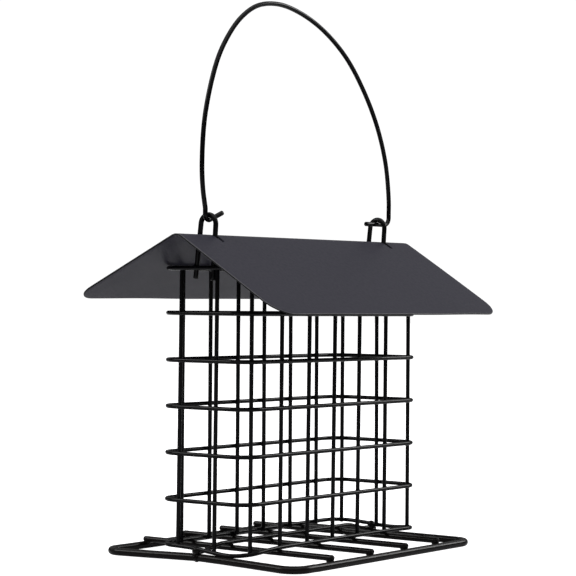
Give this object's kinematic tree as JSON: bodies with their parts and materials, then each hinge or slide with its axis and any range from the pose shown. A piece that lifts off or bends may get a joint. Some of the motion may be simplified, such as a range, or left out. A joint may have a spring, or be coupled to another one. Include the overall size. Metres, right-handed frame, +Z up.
{
  "type": "suet feeder",
  "caption": "Hanging suet feeder: a welded wire cage on a wire perch tray, under a folded sheet roof, hung from a swinging wire bail.",
  "frame": {"origin": "on the surface the tray stands on, under the middle of the whole feeder", "axes": "+X along the roof's ridge, towards the end with the long straight hook; +Y towards the back slope; +Z up, along the cage's uprights"},
  "size_m": [0.1708, 0.1144, 0.2467],
  "materials": {
    "cage": "satin black powder coat on steel wire",
    "tray": "satin black powder coat on thicker steel wire",
    "hanger": "satin black powder coat on steel wire",
    "roof": "satin slate-grey powder coat on folded sheet steel"
  },
  "bodies": {
    "feeder": {"back_upright_1": "cage", "back_upright_2": "cage", "back_upright_3": "cage", "back_upright_4": "cage", "back_upright_5": "cage", "back_upright_6": "cage", "cage_ring_1": "cage", "cage_ring_2": "cage", "cage_ring_3": "cage", "cage_ring_4": "cage", "cage_ring_5": "cage", "cage_ring_6": "cage", "cage_ring_7": "cage", "front_upright_1": "cage", "front_upright_2": "cage", "front_upright_3": "cage", "front_upright_4": "cage", "front_upright_5": "cage", "front_upright_6": "cage", "front_upright_7": "cage", "left_eyelet": "hanger", "left_upright_1": "cage", "left_upright_2": "cage", "right_eyelet": "hanger", "right_upright_1": "cage", "right_upright_2": "cage", "tray_bar": "tray", "tray_frame": "tray", "tray_rod_1": "tray", "tray_rod_2": "tray", "tray_rod_3": "tray", "tray_rod_4": "tray"},
    "roof": {"roof_sheet": "roof"},
    "bail": {"bail": "hanger"}
  },
  "joints": [
    {"name": "roof_lift", "type": "slide", "parent": "feeder", "child": "roof", "axis": [0, 0, 1], "range_m": [0, 0.0045]},
    {"name": "bail_swing", "type": "hinge", "parent": "feeder", "child": "bail", "pos_m": [0.0016, 0.0009, 0.14841], "axis": [0.9999, 0, 0.0157], "range_deg": [-114, 107]}
  ]
}
